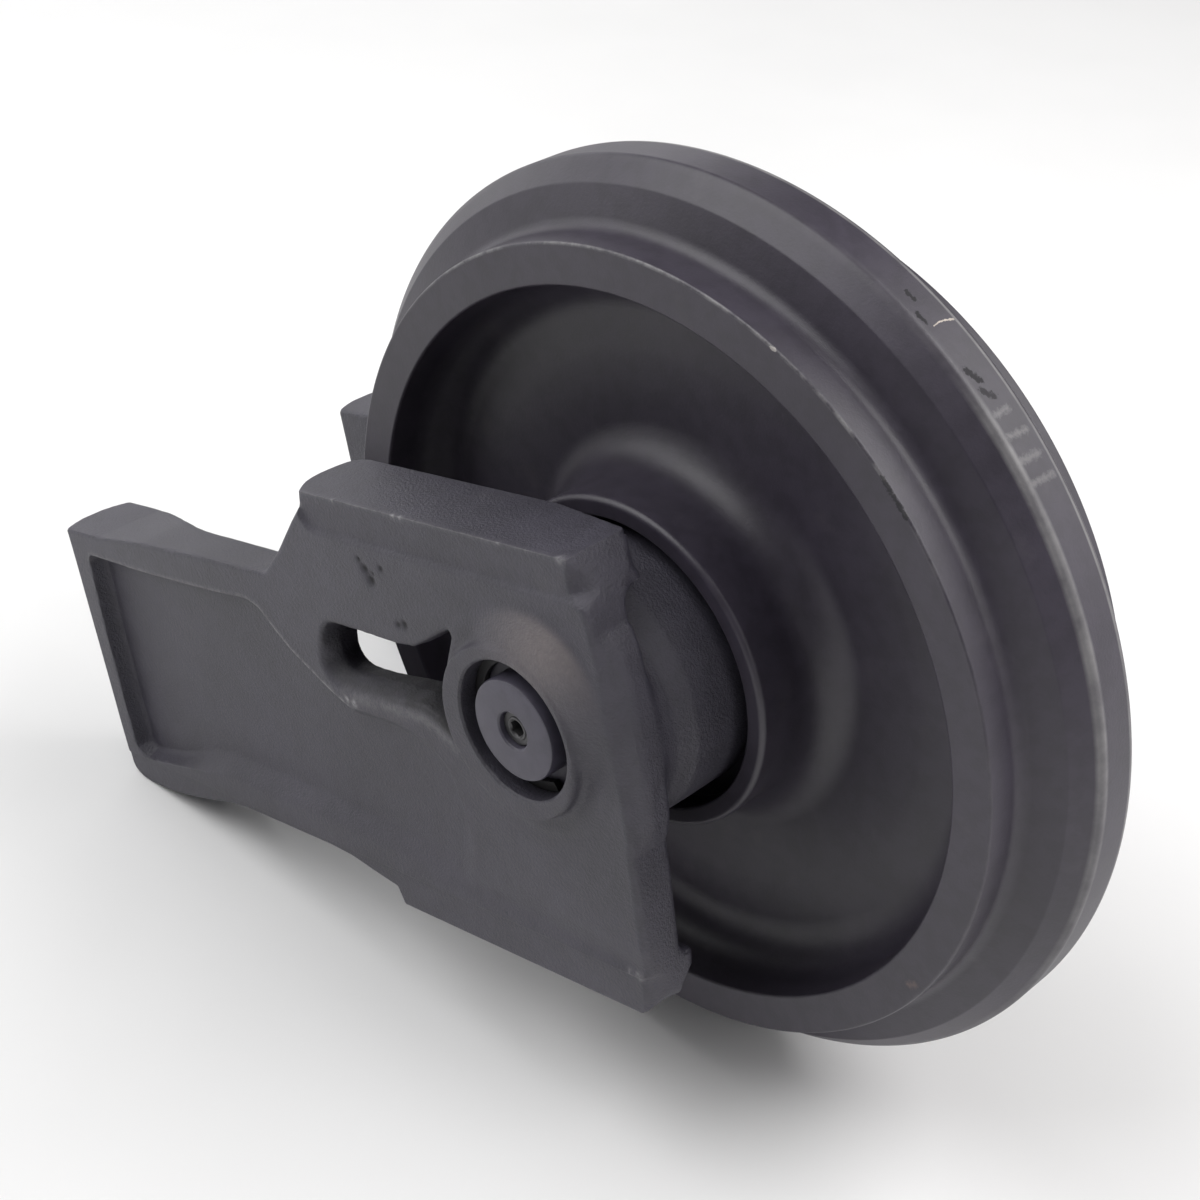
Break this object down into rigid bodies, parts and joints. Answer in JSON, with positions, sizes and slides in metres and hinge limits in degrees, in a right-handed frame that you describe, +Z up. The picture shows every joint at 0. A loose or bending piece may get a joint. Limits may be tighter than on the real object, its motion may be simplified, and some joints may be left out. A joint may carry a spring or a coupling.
{
  "type": "excavator front idler",
  "caption": "Track guide wheel with a centre flange, turning on a fixed sealed axle between two cast slide brackets whose arms reach back to the track adjuster.",
  "frame": {"origin": "on the floor, under the middle of the bounding box", "axes": "+X forward, away from the track adjuster; +Y along the axle, to the part's right bracket; +Z up. The brackets are pitched nose up by 14.5 degrees about the axle, as the idler rests on its flange and on the rear ends of both arms"},
  "size_m": [0.5246, 0.221, 0.39],
  "materials": {
    "cast_paint": "satin",
    "wheel_paint": "satin",
    "shaft_paint": "satin",
    "bronze": "satin",
    "seal_iron": "polished",
    "rubber": "matte",
    "spring_steel": "satin",
    "plug_steel": "satin"
  },
  "bodies": {
    "frame": {"axle_shaft": "shaft_paint", "oil_plug": "plug_steel", "oil_plug_seal": "rubber", "left_bracket": "cast_paint", "left_seal_ring_bracket": "seal_iron", "left_toric_ring_bracket": "rubber", "left_shaft_o_ring": "rubber", "left_retaining_ring": "spring_steel", "right_bracket": "cast_paint", "right_seal_ring_bracket": "seal_iron", "right_toric_ring_bracket": "rubber", "right_shaft_o_ring": "rubber", "right_retaining_ring": "spring_steel"},
    "wheel": {"idler_wheel": "wheel_paint", "left_bush": "bronze", "left_seal_ring_wheel": "seal_iron", "left_toric_ring_wheel": "rubber", "right_bush": "bronze", "right_seal_ring_wheel": "seal_iron", "right_toric_ring_wheel": "rubber"}
  },
  "joints": [
    {"name": "wheel_spin", "type": "hinge", "parent": "frame", "child": "wheel", "pos_m": [0.06732, 0, 0.195], "axis": [0, 1, 0], "continuous": true}
  ]
}
